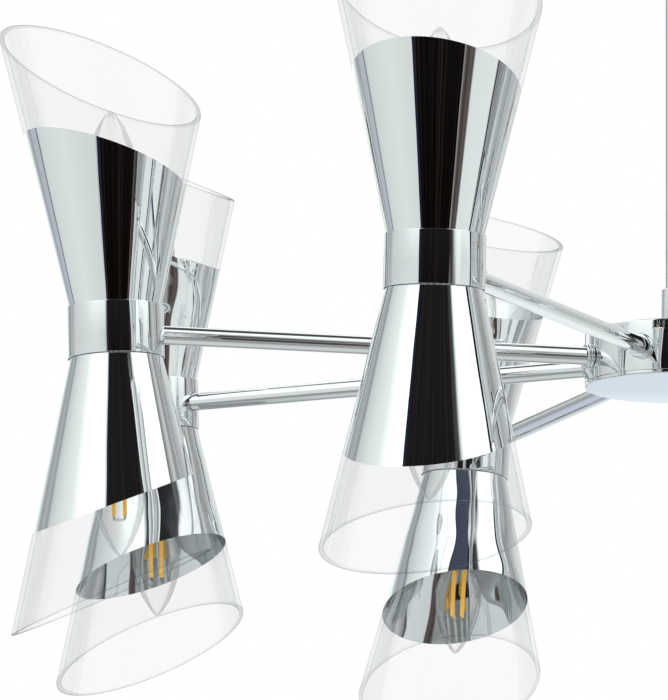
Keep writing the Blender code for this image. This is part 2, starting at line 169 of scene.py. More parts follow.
# heights between which each part of it gives way to the next, and where its blue edge starts
STAND_TO_BLACK, BLACK_TO_GREY, GREY_TO_BLUE = (-0.85, -0.82), (-0.75, -0.15), (0.30, 0.42)
BLUE_EDGE = (-0.41, -0.47)
FLAG_BLACK, FLAG_GREY = (0.001, 0.001, 0.0012, 1), (0.010, 0.010, 0.011, 1)
FLAG_BLUE, FLAG_EDGE = (0.06, 0.075, 0.11, 1), (0.014, 0.02, 0.038, 1)
FLAG_BROWN = (0.20, 0.13, 0.10, 1)
STAND_DARK, STAND_PALE = (0.22, 0.25, 0.25, 1), (0.62, 0.66, 0.66, 1)
STREAKS = (26, 0.7, 1)              # narrow across, long upright

# name, place in metres, side of the square in metres, watts
LIGHTS = (("key_light", (2.2, -2.6, 2.4), 2.5, 60), ("fill_light", (-2.8, 1.8, 1.6), 2.5, 35))
BOUNCES, GLOSSY_BOUNCES, CLEAR_BOUNCES = 28, 12, 64


def to_linear(display):
    value = display / 255
    if value > 1:
        return 1 + (value - 1) * OVER_WHITE
    return value / 12.92 if value <= 0.04045 else ((value + 0.055) / 1.055) ** 2.4


class Nodes:
    """Short calls for building a node tree."""

    def __init__(self, tree):
        self.tree = tree

    def add(self, kind, **settings):
        node = self.tree.nodes.new(kind)
        for key, value in settings.items():
            setattr(node, key, value)
        return node

    def link(self, output, target):
        if isinstance(output, bpy.types.NodeSocket):
            self.tree.links.new(output, target)
        else:
            target.default_value = output

    def math(self, operation, first, second=0.0, clamp=False):
        node = self.add("ShaderNodeMath", operation=operation, use_clamp=clamp)
        self.link(first, node.inputs[0])
        self.link(second, node.inputs[1])
        return node.outputs[0]

    def ramp(self, factor, stops, low, high):
        node = self.add("ShaderNodeValToRGB")
        elements = node.color_ramp.elements
        while len(elements) < len(stops):
            elements.new(0.5)
        for element, (place, brightness) in zip(elements, stops):
            element.position = (place - low) / (high - low)
        for element, (place, brightness) in zip(elements, stops):
            if isinstance(brightness, tuple):
                element.color = (*(to_linear(level) for level in brightness), 1)
            else:
                element.color = (*(to_linear(brightness) * tint for tint in GREY_TINT), 1)
        self.link(factor, node.inputs[0])
        return node.outputs[0]

    def mix(self, factor, first, second):
        node = self.add("ShaderNodeMix", data_type='RGBA')
        self.link(factor, node.inputs[0])
        self.link(first, node.inputs[6])
        self.link(second, node.inputs[7])
        return node.outputs[2]

    def noise(self, scale, detail):
        source = self.add("ShaderNodeTexCoord").outputs["Object"]
        node = self.add("ShaderNodeTexNoise")
        node.inputs["Scale"].default_value = scale
        node.inputs["Detail"].default_value = detail
        self.link(source, node.inputs["Vector"])
        return node.outputs[0]

    def spread(self, value, low, high):
        node = self.add("ShaderNodeMapRange")
        self.link(value, node.inputs[0])
        node.inputs[3].default_value, node.inputs[4].default_value = low, high
        return node.outputs[0]

    def bump(self, height, distance, strength):
        node = self.add("ShaderNodeBump")
        node.inputs["Strength"].default_value = strength
        node.inputs["Distance"].default_value = distance
        self.link(height, node.inputs["Height"])
        return node.outputs[0]


def build_surround():
    """The bands for whatever the chrome mirrors, and plain white for the rest."""
    world = bpy.data.worlds.new("studio")
    bpy.context.scene.world = world
    world.use_nodes = True
    n = Nodes(world.node_tree)
    world.node_tree.nodes.clear()
    direction = n.add("ShaderNodeTexCoord").outputs["Generated"]
    split = n.add("ShaderNodeSeparateXYZ")
    n.link(direction, split.inputs[0])
    x, y, z = split.outputs
    round_angle = n.math('ARCTAN2', x, n.math('MULTIPLY', y, -1.0))
    round_share = n.math('ADD', n.math('DIVIDE', round_angle, 2 * math.pi), 0.5)
    height_angle = n.math('DIVIDE', n.math('ARCSINE', z), math.pi / 180)
    height_share = n.math('ADD', n.math('DIVIDE', height_angle, 180.0), 0.5)
    low = n.ramp(round_share, BAND_LOW, -180, 180)
    mid = n.ramp(round_share, BAND_MID, -180, 180)
    high = n.ramp(round_share, BAND_HIGH, -180, 180)
    vertical = n.ramp(height_share, BAND_VERTICAL, -90, 90)
    first, second, third = BAND_ELEVATIONS
    bands = n.mix(rise(n, height_angle, first, second), low, mid)
    bands = n.mix(rise(n, height_angle, second, third), bands, high)
    bands = n.mix(rise(n, height_angle, *FADE_UP), bands, vertical)
    bands = n.mix(rise(n, height_angle, *FADE_DOWN), bands, vertical)
    path = n.add("ShaderNodeLightPath")
    mirrored = n.add("ShaderNodeBackground")
    n.link(bands, mirrored.inputs[0])
    mirrored.inputs[1].default_value = CHROME_GAIN
    plain = n.add("ShaderNodeBackground")
    plain.inputs[0].default_value = (1, 1, 1, 1)
    plain.inputs[1].default_value = SURROUND_WHITE
    pick = n.add("ShaderNodeMixShader")
    n.link(n.math('MINIMUM', path.outputs["Glossy Depth"], 1.0), pick.inputs[0])
    n.link(plain.outputs[0], pick.inputs[1])
    n.link(mirrored.outputs[0], pick.inputs[2])
    output = n.add("ShaderNodeOutputWorld")
    n.link(pick.outputs[0], output.inputs[0])


def rise(n, value, start, end):
    """0 at start, 1 at end, straight between."""
    return n.math('DIVIDE', n.math('SUBTRACT', value, float(start)), float(end - start),
                  clamp=True)


def add_flag():
    """Upright plane that only the chrome sees."""
    bm = bmesh.new()
    bmesh.ops.create_grid(bm, x_segments=1, y_segments=1, size=0.5)
    bmesh.ops.scale(bm, vec=(FLAG_RIGHT - FLAG_LEFT, FLAG_TOP - FLAG_BOTTOM, 1), verts=bm.verts)
    centre = ((FLAG_LEFT + FLAG_RIGHT) / 2, FLAG_Y, FLAG_MIDDLE)
    flag = add_object("flag", mesh_of(bm, "flag"), Matrix.Translation(centre) @ turned('X', 90))
    flag.data.materials.append(flag_material())
    flag.visible_camera = flag.visible_diffuse = False
    flag.visible_transmission = flag.visible_shadow = False


def add_light(name, place, target, size, power):
    data = bpy.data.lights.new(name, 'AREA')
    data.shape = 'SQUARE'
    data.size = size
    data.energy = power
    light = bpy.data.objects.new(name, data)
    light.location = place
    aim = Vector(target) - Vector(place)
    light.rotation_euler = aim.to_track_quat('-Z', 'Y').to_euler()
    light.visible_glossy = light.visible_camera = False
    light.visible_transmission = False
    bpy.context.scene.collection.objects.link(light)


def flag_material():
    """Almost black with brown upright streaks, paler and bluer at its top and left edges, and
    with the striped grey stand below it."""
    mat, n, shader = new_material("flag")
    place = n.add("ShaderNodeTexCoord").outputs["Object"]
    stretch = n.add("ShaderNodeMapping")
    n.link(place, stretch.inputs["Vector"])
    stretch.inputs["Scale"].default_value = STREAKS
    streaks = n.add("ShaderNodeTexNoise")
    streaks.inputs["Scale"].default_value = 1
    streaks.inputs["Detail"].default_value = 3
    n.link(stretch.outputs[0], streaks.inputs["Vector"])
    split = n.add("ShaderNodeSeparateXYZ")
    n.link(place, split.inputs[0])
    across, up = split.outputs[0], split.outputs[1]

    def at_height(levels):
        return rise(n, up, levels[0] - FLAG_MIDDLE, levels[1] - FLAG_MIDDLE)

    cloth = n.mix(at_height(BLACK_TO_GREY), FLAG_BLACK, FLAG_GREY)
    cloth = n.mix(at_height(GREY_TO_BLUE), cloth, FLAG_BLUE)
    cloth = n.mix(rise(n, across, *BLUE_EDGE), cloth, FLAG_EDGE)
    cloth = n.mix(n.math('POWER', streaks.outputs[0], 6.0), cloth, FLAG_BROWN)
    stripes = n.add("ShaderNodeTexWave", bands_direction='X')
    stripes.inputs["Distortion"].default_value = 1.5
    stripes.inputs["Scale"].default_value = 0.05
    n.link(stretch.outputs[0], stripes.inputs["Vector"])
    stand = n.mix(n.math('POWER', stripes.outputs["Fac"], 3.0), STAND_DARK, STAND_PALE)
    n.link(n.mix(at_height(STAND_TO_BLACK), stand, cloth), shader["Emission Color"])
    shader["Emission Strength"].default_value = 1
    shader["Base Color"].default_value = (0, 0, 0, 1)
    shader["Roughness"].default_value = 0.9
    shader["Specular IOR Level"].default_value = 0
    return mat


def build_stage():
    add_flag()
    for name, place, size, power in LIGHTS:
        add_light(name, place, HUB_CENTRE, size, power)


# ---------------------------------------------------------------- mesh helpers

def mesh_of(bm, name):
    mesh = bpy.data.meshes.new(name)
    bm.to_mesh(mesh)
    bm.free()
    return mesh


def add_object(name, mesh, matrix):
    obj = bpy.data.objects.new(name, mesh)
    bpy.context.scene.collection.objects.link(obj)
    obj.matrix_world = matrix
    return obj


def smooth(mesh):
    mesh.shade_smooth()
    mesh.set_sharp_from_angle(angle=math.radians(SHARP_ANGLE))
    return mesh


def rounded(points, radius, steps=4, closed=True):
    """Round every corner of a profile; radius may be one value or one per corner.  A round
    takes up less than half of the sides that it joins."""
    count = len(points)
    radii = radius if isinstance(radius, (list, tuple)) else [radius] * count
    result = []
    for i, (point, corner_r) in enumerate(zip(points, radii)):
        here = Vector(point)
        at_end = not closed and i in (0, count - 1)
        if at_end or corner_r <= 0:
            result.append(tuple(here))
            continue
        before = Vector(points[i - 1]) - here
        after = Vector(points[(i + 1) % count]) - here
        reach = min(corner_r, before.length * 0.45, after.length * 0.45)
        start = here + before.normalized() * reach
        end = here + after.normalized() * reach
        for step in range(steps + 1):
            t = step / steps
            result.append(tuple((1 - t) ** 2 * start + 2 * t * (1 - t) * here + t ** 2 * end))
    return result


def lathe_rows(name, rows, sides, closed):
    """Skin rings of points; a ring with one point is a pole."""
    bm = bmesh.new()
    rings = [[bm.verts.new(p) for p in row] for row in rows]
    pairs = list(zip(rings, rings[1:]))
    if closed:
        pairs.append((rings[-1], rings[0]))
    for upper, lower in pairs:
        for i in range(sides):
            j = (i + 1) % sides
            corners = [upper[i % len(upper)], lower[i % len(lower)],
                       lower[j % len(lower)], upper[j % len(upper)]]
            unique = list(dict.fromkeys(corners))
            if len(unique) > 2:
                bm.faces.new(unique)
    bmesh.ops.recalc_face_normals(bm, faces=bm.faces)
    return smooth(mesh_of(bm, name))


def lathe(name, profile, sides=SIDES, closed=True):
    """Revolve (radius, height) points about Z."""
    rows = []
    for r, z in profile:
        if r < 1e-7:
            rows.append([(0, 0, z)])
            continue
        angles = [2 * math.pi * i / sides for i in range(sides)]
        rows.append([(r * math.cos(angle), r * math.sin(angle), z) for angle in angles])
    return lathe_rows(name, rows, sides, closed)


def tube_along(name, points, radius, sides):
    """A closed round wire through the points."""
    rows = []
    for i, point in enumerate(points):
        here = Vector(point)
        ahead = Vector(points[min(i + 1, len(points) - 1)]) - Vector(points[max(i - 1, 0)])
        side = ahead.orthogonal().normalized() if i == 0 else turn_with(side, ahead)
        other = ahead.normalized().cross(side)
        rows.append([here + radius * (math.cos(2 * math.pi * k / sides) * side
                                      + math.sin(2 * math.pi * k / sides) * other)
                     for k in range(sides)])
    rows = [[Vector(points[0])]] + rows + [[Vector(points[-1])]]
    return lathe_rows(name, rows, sides, closed=False)


def turn_with(side, ahead):
    """The last cross direction, made square to the new heading, so that the wire doesn't twist."""
    ahead = ahead.normalized()
    return (side - ahead * side.dot(ahead)).normalized()


def joined(name, meshes):
    """One mesh from several, keeping each one's material."""
    bm = bmesh.new()
    materials = []
    for mesh in meshes:
        offset = len(bm.faces)
        bm.from_mesh(mesh)
        bm.faces.ensure_lookup_table()
        for face in bm.faces[offset:]:
            face.material_index += len(materials)
        materials += list(mesh.materials)
    result = mesh_of(bm, name)
    for mat in materials:
        result.materials.append(mat)
    return smooth(result)


def drill(reach):
    """Cutter along X, between two distances from the origin, for an arm tube's hole."""
    near, far = reach
    mesh = lathe("drill", [(0, far), (HOLE_R, far), (HOLE_R, near), (0, near)], 48, closed=False)
    mesh.transform(ALONG_X)
    return mesh


ALONG_X = Matrix.Rotation(math.pi / 2, 4, 'Y')
UPSIDE_DOWN = Matrix.Rotation(math.pi, 4, 'X')
# The back units' mirror coat is wavier than the others': it stands in for the waves that the
# glass in front of them gives their reflections, as the glass here bends nothing.
WAVY_UNITS = (3, 4)


# ---------------------------------------------------------------- materials

def new_material(name):
    mat = bpy.data.materials.new(name)
    mat.use_nodes = True
    return mat, Nodes(mat.node_tree), mat.node_tree.nodes["Principled BSDF"].inputs


def chrome_material(name, colour=(0.86, 0.875, 0.88), low=0.0, high=0.03, wave=0.012,
                    wave_scale=14):
    """Polished plating: faint smears in the gloss and a barely wavy ground surface.  The
    waves of a coat whose wave is above 1 are that much deeper."""
    mat, n, shader = new_material(name)
    shader["Base Color"].default_value = (*colour, 1)
    shader["Metallic"].default_value = 1
    smears = n.math('MULTIPLY', n.noise(9, 5), n.noise(70, 3))
    n.link(n.spread(smears, low, high), shader["Roughness"])
    n.link(n.bump(n.noise(wave_scale, 1), 0.002 * max(wave, 1), min(wave, 1)), shader["Normal"])
    return mat


def glass_material(name, flat=(0.974, 0.975, 0.976), edge=(0.70, 0.71, 0.72), power=10.0,
                   shine=0.15):
    """Clear thin glass that bends nothing: what is behind shows through, tinted by flat, and
    darkened towards edge where the wall is seen edge on, under a faint reflection.  The
    darkening is partly the longer path through the glass and partly painted shade, standing in
    for the refraction and inner reflection that this glass leaves out."""
    mat, n, shader = new_material(name)
    shader["Base Color"].default_value = (0.95, 0.96, 0.96, 1)
    shader["Metallic"].default_value = 1
    shader["Roughness"].default_value = 0
    ripple = n.bump(n.noise(11, 2), 0.002, 0.05)
    n.link(ripple, shader["Normal"])
    facing = n.add("ShaderNodeLayerWeight")
    facing.inputs["Blend"].default_value = 0.5
    n.link(ripple, facing.inputs["Normal"])
    clear = n.add("ShaderNodeBsdfTransparent")
    # painted shade: the see-through colour darkens with the viewing angle, towards edge
    n.link(n.mix(n.math('POWER', facing.outputs["Facing"], power), (*flat, 1), (*edge, 1)),
           clear.inputs[0])
    fresnel = n.add("ShaderNodeFresnel")
    fresnel.inputs["IOR"].default_value = 1.3
    n.link(ripple, fresnel.inputs["Normal"])
    both = n.add("ShaderNodeMixShader")
    n.link(n.math('MULTIPLY', fresnel.outputs[0], shine), both.inputs[0])
    n.link(clear.outputs[0], both.inputs[1])
    n.link(mat.node_tree.nodes["Principled BSDF"].outputs[0], both.inputs[2])
    n.link(both.outputs[0], mat.node_tree.nodes["Material Output"].inputs["Surface"])
    return mat


def plastic_material(name, colour, roughness=0.38):
    mat, n, shader = new_material(name)
    tone = n.spread(n.noise(160, 3), 0.94, 1.03)
    scale = n.add("ShaderNodeVectorMath", operation='SCALE')
    scale.inputs[0].default_value = colour
    n.link(tone, scale.inputs["Scale"])
    n.link(scale.outputs[0], shader["Base Color"])
    n.link(n.spread(n.noise(300, 2), roughness - 0.06, roughness + 0.08), shader["Roughness"])
    n.link(n.bump(n.noise(900, 2), 0.0002, 0.15), shader["Normal"])
    return mat


def filament_material():
    """Yellow phosphor over the strip's chips, a little deeper where the chips sit, with a faint
    painted glow of its own colour, as the lamps are not lit.
    """
    mat, n, shader = new_material("filament_phosphor_painted_glow")
    chips = n.add("ShaderNodeTexWave", bands_direction='Z')
    chips.inputs["Scale"].default_value = 120
    n.link(n.add("ShaderNodeTexCoord").outputs["Object"], chips.inputs["Vector"])
    colour = n.mix(chips.outputs["Fac"], (0.93, 0.50, 0.06, 1), (0.98, 0.62, 0.14, 1))
    n.link(colour, shader["Base Color"])
    # painted glow: the unlit strips give off faint light in the phosphor's colour
    n.link(colour, shader["Emission Color"])
    shader["Emission Strength"].default_value = 0.25
    shader["Roughness"].default_value = 0.45
    return mat


MATERIALS = {
    "chrome": chrome_material("polished_chrome"),
    "plating": chrome_material("glass_plating", high=0.015, wave=0.3),
    "wavy_plating": chrome_material("wavy_glass_plating", high=0.015, wave=2.4, wave_scale=18),
    # The edge colours below are painted shade at the glasses' edges; the rim glass is darker face
    # on as well, a painted grey line along the rim
    "shade_glass": glass_material("clear_shade_glass"),
    "rim_glass": glass_material("shade_rim_glass", (0.91, 0.915, 0.92), (0.38, 0.39, 0.40), 3.0),
    "bulb_glass": glass_material("clear_bulb_glass", (0.982, 0.982, 0.98), (0.62, 0.62, 0.62),
                                 8.0, shine=0.3),
    "holder": plastic_material("holder_white", (0.80, 0.80, 0.77)),
    "cap": chrome_material("cap_aluminium", (0.80, 0.79, 0.77), 0.18, 0.34, 0.05),
    "wire": chrome_material("wire_nickel", (0.55, 0.54, 0.52), 0.2, 0.3, 0.02),
    "insulator": plastic_material("insulator_black", (0.02, 0.02, 0.022), 0.25),
    "filament": filament_material(),
}


def with_material(mesh, key):
    mesh.materials.append(MATERIALS[key])
    return mesh


# ---------------------------------------------------------------- one arm's pieces

def shoulder_profile():
    """Two round beads with a groove between, hard against the drum."""
    start = HUB_R + GAP
    points = [(TUBE_R, start + 4 * BEAD_R)]
    for index in (1, 0):
        centre = start + BEAD_R * (1 + 2 * index)
        for step in range(9):
            angle = math.pi / 2 - math.pi * step / 8
            points.append((SHOULDER_R - BEAD_R + BEAD_R * math.cos(angle),
                           centre + BEAD_R * math.sin(angle)))
    points.append((TUBE_R, start))
    return points


def arm_mesh():
    end = ARM_REACH - ARM_END_TO_CENTRE
    nut_out = HUB_R - HUB_WALL - NUT_TO_WALL
    nut = rounded([(TUBE_R, nut_out), (NUT_R, nut_out), (NUT_R, nut_out - NUT_LENGTH),
                   (TUBE_R, nut_out - NUT_LENGTH)], [0, 0.4 * MM, 0.4 * MM, 0], closed=False)
    profile = ([(TUBE_R, end)] + shoulder_profile() + nut
               + [(TUBE_R, ARM_INNER_END), (TUBE_BORE_R, ARM_INNER_END), (TUBE_BORE_R, end)])
    mesh = lathe("arm_tube", profile, 64)
    mesh.transform(ALONG_X)
    return with_material(mesh, "chrome")


def collar_mesh():
    inner = COLLAR_R - COLLAR_LIP
    corners = [(COLLAR_R, COLLAR_HALF), (COLLAR_R, -COLLAR_HALF), (inner, -COLLAR_HALF),
               (inner, -WEB_HALF), (NIPPLE_HOLE_R, -WEB_HALF), (NIPPLE_HOLE_R, WEB_HALF),
               (inner, WEB_HALF), (inner, COLLAR_HALF)]
    edge, fine = 0.7 * MM, 0.2 * MM
    mesh = lathe("collar", rounded(corners, [edge, edge, fine, 0, fine, fine, 0, fine]))
    return with_material(mesh, "chrome")


def cone_radius(height):
    return NECK_R + CONE_SLOPE * (height - COLLAR_HALF)


def slanted_height(plane_height, plane_slope, cos_angle, inset):
    """Where the slanting plane meets the cone whose wall is inset by this much."""
    flat_r = NECK_R - inset - CONE_SLOPE * COLLAR_HALF
    return ((plane_height + plane_slope * cos_angle * flat_r)
            / (1 - plane_slope * cos_angle * CONE_SLOPE))


def ring(point_at):
    """One row of points round the axis; point_at gives (radius, height) from the cosine."""
    row = []
    for i in range(SIDES):
        angle = 2 * math.pi * i / SIDES
        r, z = point_at(math.cos(angle))
        row.append((r * math.cos(angle), r * math.sin(angle), z))
    return row


def glass_mesh():
    """Cone with a holed base and a slanting, fire-polished rim."""
    base = WEB_HALF + GAP
    floor = base + GLASS_WALL

    def wall(inset, share):
        def point_at(cosine):
            top = slanted_height(RIM_HEIGHT, RIM_SLOPE, cosine, inset) - RIM_ROUND
            start = base if inset == 0 else floor
            height = start + (top - start) * share
            return cone_radius(height) - inset, height
        return ring(point_at)

    def rim(angle):
        across = math.copysign(abs(math.cos(angle)) ** 0.6, math.cos(angle))
        rise_share = abs(math.sin(angle)) ** 0.6
        inset = GLASS_WALL / 2 * (1 - across)

        def point_at(cosine):
            height = slanted_height(RIM_HEIGHT, RIM_SLOPE, cosine, inset) - RIM_ROUND
            return cone_radius(height) - inset, height + RIM_ROUND * rise_share
        return ring(point_at)

    rows = [ring(lambda c: (BASE_HOLE_R, floor)), ring(lambda c: (BASE_HOLE_R, base))]
    rows += [ring(lambda c: (cone_radius(base) - 1.5 * MM, base)),
             ring(lambda c: (cone_radius(base) - 0.4 * MM, base + 0.4 * MM))]
    rows += [wall(0, share) for share in (0.01, 0.25, 0.5, 0.75, 1.0)]
    rim_start = (len(rows) - 1) * SIDES
    rows += [rim(math.pi * step / 8) for step in range(1, 8)]
    rim_end = len(rows) * SIDES
    rows += [wall(GLASS_WALL, share) for share in (1.0, 0.75, 0.5, 0.25, 0.01)]
    rows += [ring(lambda c: (cone_radius(floor) - GLASS_WALL - 1 * MM, floor))]
    mesh = with_material(lathe_rows("shade_glass", rows, SIDES, True), "shade_glass")
    mesh.materials.append(MATERIALS["rim_glass"])
    for index in range(rim_start, rim_end):
        mesh.polygons[index].material_index = 1
    return mesh


def plating_mesh(key):
    """Mirror coat on the outside of the glass, up to its slanting edge."""
    start = WEB_HALF + 4 * GAP

    def coat(inset, share):
        def point_at(cosine):
            top = slanted_height(PLATING_HEIGHT, PLATING_SLOPE, cosine, inset)
            height = start + (top - start) * share
            return cone_radius(height) - inset, height
        return ring(point_at)

    rows = [coat(-COAT_FAR, share) for share in (0, 0.25, 0.5, 0.75, 1)]
    rows += [coat(-COAT_NEAR, share) for share in (1, 0.75, 0.5, 0.25, 0)]
    return with_material(lathe_rows("shade_plating", rows, SIDES, True), key)


def threaded(r, low, high, pitch, depth):
    """Profile points of a round screw thread's outline, top to bottom."""
    points, turns = [], max(1, round((high - low) / pitch))
    for step in range(turns * 6 + 1):
        height = high - (high - low) * step / (turns * 6)
        points.append((r - depth * (0.5 - 0.5 * math.cos(2 * math.pi * step / 6)), height))
    return points


def lampholder_mesh():
    """One lampholder: threaded sleeve with its skirt, mouth and lamp bore."""
    ring_high = SHADE_RING_LOW + SHADE_RING_THICK
    start = WEB_HALF + GAP
    mouth_r, foot_r = HOLDER_R - MOUTH_STEP, HOLDER_R - HOLDER_THREAD_DEPTH
    outside = rounded([(HOLDER_BORE_R, HOLDER_MOUTH), (mouth_r, HOLDER_MOUTH),
                       (mouth_r, SKIRT_TOP + 1 * MM), (HOLDER_R, SKIRT_TOP)],
                      [0.5 * MM, 0.8 * MM, 0.4 * MM, 0.2 * MM], closed=False)
    thread = threaded(HOLDER_R, ring_high + 1 * MM, THREAD_TOP, HOLDER_PITCH,
                      HOLDER_THREAD_DEPTH)
    foot = [(foot_r, ring_high), (foot_r, start), (HOLDER_FOOT_BORE_R, start),
            (HOLDER_FOOT_BORE_R, 0), (0, 0)]
    inside = [(0, HOLDER_FLOOR), (HOLDER_BORE_R, HOLDER_FLOOR)]
    mesh = lathe("lampholder", inside + outside + thread + foot, 64, closed=False)
    return with_material(mesh, "holder")


def shade_ring_mesh():
    """Knurled ring that screws down the sleeve and clamps the glass."""
    low, high = SHADE_RING_LOW, SHADE_RING_LOW + SHADE_RING_THICK
    sides, edge = 96, 0.5 * MM
    corners = [(SHADE_RING_R, high), (SHADE_RING_R, low), (SHADE_RING_BORE_R, low),
               (SHADE_RING_BORE_R, high)]
    rows = []
    for r, z in rounded(corners, edge, 3):
        row = []
        for i in range(sides):
            knurl = KNURL_DEPTH if i % 4 < 2 and r > SHADE_RING_R - 1.2 * edge else 0
            angle = 2 * math.pi * i / sides
            row.append(((r - knurl) * math.cos(angle), (r - knurl) * math.sin(angle), z))
        rows.append(row)
    return with_material(lathe_rows("shade_ring", rows, sides, True), "holder")


def bulb_outline(inset):
    """Candle bulb's outline, tip to neck."""
    tip, r_max = LAMP_TIP - inset, LAMP_R - inset
    points = [(0, tip)]
    for step in range(1, 17):
        share = 1 - (step / 16) ** 2
        height = LAMP_WIDEST + share * (tip - LAMP_WIDEST)
        points.append((r_max * math.cos(share * math.pi / 2) ** BULB_BLUNTNESS, height))
    neck = CAP_TOP + 0.5 * MM
    neck_r = BULB_NECK_R - inset
    for step in range(1, 11):
        share = step / 10
        swell = math.cos(share * math.pi / 2) ** NECK_SWELL
        points.append((neck_r + (r_max - neck_r) * swell,
                       LAMP_WIDEST - share * (LAMP_WIDEST - neck)))
    return points


def bulb_mesh():
    outer, inner = bulb_outline(0), bulb_outline(BULB_WALL)
    mesh = lathe("bulb", outer + inner[::-1], 64, closed=False)
    return with_material(mesh, "bulb_glass")


def cap_meshes():
    """Screw cap, black insulator and centre contact."""
    seat, contact_top = CAP_TOP - 0.6 * MM, INSULATOR_LOW + 0.1 * MM
    shell = ([(0, seat), (CAP_R - 1.3 * MM, seat), (CAP_R, CAP_TOP + 1 * MM),
              (CAP_R, CAP_TOP - 3 * MM)]
             + threaded(CAP_R, LAMP_BASE + 7 * MM, CAP_TOP - 4 * MM, CAP_PITCH,
                        CAP_THREAD_DEPTH)
             + [(CAP_R - 1 * MM, LAMP_BASE + 6.5 * MM), (CAP_R - 1.5 * MM, SHELL_LOW),
                (0, SHELL_LOW)])
    insulator = [(0, SHELL_LOW), (CAP_R - 1.6 * MM, SHELL_LOW), (3.2 * MM, INSULATOR_LOW),
                 (0, INSULATOR_LOW)]
    contact = rounded([(0, contact_top), (2.6 * MM, contact_top), (2 * MM, LAMP_BASE),
                       (0, LAMP_BASE)], 0.3 * MM, 3, closed=False)
    return [with_material(lathe("cap_shell", shell, 48, False), "cap"),
            with_material(lathe("cap_insulator", insulator, 32, False), "insulator"),
            with_material(lathe("cap_contact", contact, 32, False), "cap")]


FILAMENTS = 4
FILAMENT_R = 1 * MM
FILAMENT_LOW, FILAMENT_HIGH = 86 * MM, 124 * MM
FILAMENT_SPREAD_LOW, FILAMENT_SPREAD_HIGH = 5.5 * MM, 5.2 * MM
LEAD_R, TAB_R, TAB_LENGTH = 0.25 * MM, 0.45 * MM, 2.2 * MM
BRIDGE_LIFT, BRIDGE_WAVE = 2 * MM, 1.1 * MM
STEM_TOP, STEM_R, STEM_FOOT_R = 98 * MM, 2.2 * MM, 5.2 * MM


def filament_place(index, share):
    angle = 2 * math.pi * (index + 0.5) / FILAMENTS
    spread = FILAMENT_SPREAD_LOW + (FILAMENT_SPREAD_HIGH - FILAMENT_SPREAD_LOW) * share
    height = FILAMENT_LOW + (FILAMENT_HIGH - FILAMENT_LOW) * share
    return Vector((spread * math.cos(angle), spread * math.sin(angle), height))


def filament_mesh():
    strips = []
    for index in range(FILAMENTS):
        points = [filament_place(index, step / 12) for step in range(13)]
        strips.append(with_material(tube_along("strip", points, FILAMENT_R, 12), "filament"))
    return joined("filaments", strips)


def stem_meshes():
    """Glass stem, its lead wires and the small wires that join the strips in pairs."""
    foot_low = CAP_TOP + 1 * MM
    stem = rounded([(0, STEM_TOP), (STEM_R - 0.2 * MM, STEM_TOP - 2 * MM),
                    (STEM_R, STEM_TOP - 10 * MM), (STEM_FOOT_R, foot_low), (0, foot_low)],
                   1.2 * MM, 5, closed=False)
    parts = [with_material(lathe("stem", stem, 32, False), "bulb_glass")]
    for index in range(FILAMENTS):
        foot, top = filament_place(index, 0), filament_place(index, 1)
        lead = [Vector((foot.x * share, foot.y * share, CAP_TOP + lift))
                for share, lift in ((0.35, 2 * MM), (0.45, 6 * MM))]
        parts.append(with_material(tube_along("lead", lead + [foot], LEAD_R, 8), "wire"))
        tab = [top, top + Vector((0, 0, TAB_LENGTH))]
        parts.append(with_material(tube_along("tab", tab, TAB_R, 8), "wire"))
    for first, second in ((0, 1), (2, 3)):
        start, end = filament_place(first, 1), filament_place(second, 1)
        points = []
        for step in range(9):
            lift = BRIDGE_LIFT + BRIDGE_WAVE * (step % 2)
            points.append(start.lerp(end, step / 8) + Vector((0, 0, lift)))
        parts.append(with_material(tube_along("bridge", points, LEAD_R, 8), "wire"))
    return parts


# ---------------------------------------------------------------- hub and suspension

def hub_drum_mesh():
    seam, inner = HUB_BOTTOM + COVER_THICK, HUB_R - HUB_WALL
    corners = [(HUB_R, HUB_TOP), (HUB_R, seam + GAP), (inner, seam + GAP),
               (inner, HUB_TOP - HUB_WALL), (ROD_R + GAP, HUB_TOP - HUB_WALL),
               (ROD_R + GAP, HUB_TOP)]
    edge = [1.2 * MM, 0.25 * MM, 0.1 * MM, 0, 0.1 * MM, 0.3 * MM]
    return with_material(lathe("hub_drum", rounded(corners, edge), 192), "chrome")


def hub_cover_mesh():
    seam, spigot = HUB_BOTTOM + COVER_THICK, HUB_R - HUB_WALL - GAP
    corners = [(0, seam), (spigot - HUB_WALL, seam), (spigot - HUB_WALL, seam + COVER_SPIGOT),
               (spigot, seam + COVER_SPIGOT), (spigot, seam), (HUB_R, seam), (HUB_R, HUB_BOTTOM),
               (0, HUB_BOTTOM)]
    radii = [0, 0, 0.2 * MM, 0.3 * MM, 0, 0.25 * MM, 1.6 * MM, 0]
    mesh = lathe("hub_cover", rounded(corners, radii, 6, closed=False), 192, closed=False)
    return with_material(mesh, "chrome")


def rod_mesh():
    """Rod with its ferrule above the drum's plate and its lock flange below it."""
    hub = HUB_CENTRE.z
    plate = hub + HUB_TOP
    flange = plate - HUB_WALL - GAP
    flange_low, end = flange - NUT_LENGTH, flange - 2 * NUT_LENGTH
    corners = [(ROD_R, ROD_TOP), (ROD_R, hub + FERRULE_TOP), (FERRULE_R, hub + FERRULE_TOP),
               (FERRULE_R, plate + GAP), (ROD_R, plate + GAP), (ROD_R, flange),
               (FERRULE_R, flange), (FERRULE_R, flange_low), (ROD_R, flange_low),
               (ROD_R, end), (ROD_BORE_R, end), (ROD_BORE_R, ROD_TOP)]
    radii = [0, 0, 0.7 * MM, 0.5 * MM, 0, 0, 0.3 * MM, 0.3 * MM, 0, 0.3 * MM, 0.2 * MM, 0]
    return with_material(lathe("suspension_rod_fine", rounded(corners, radii), 96), "chrome")


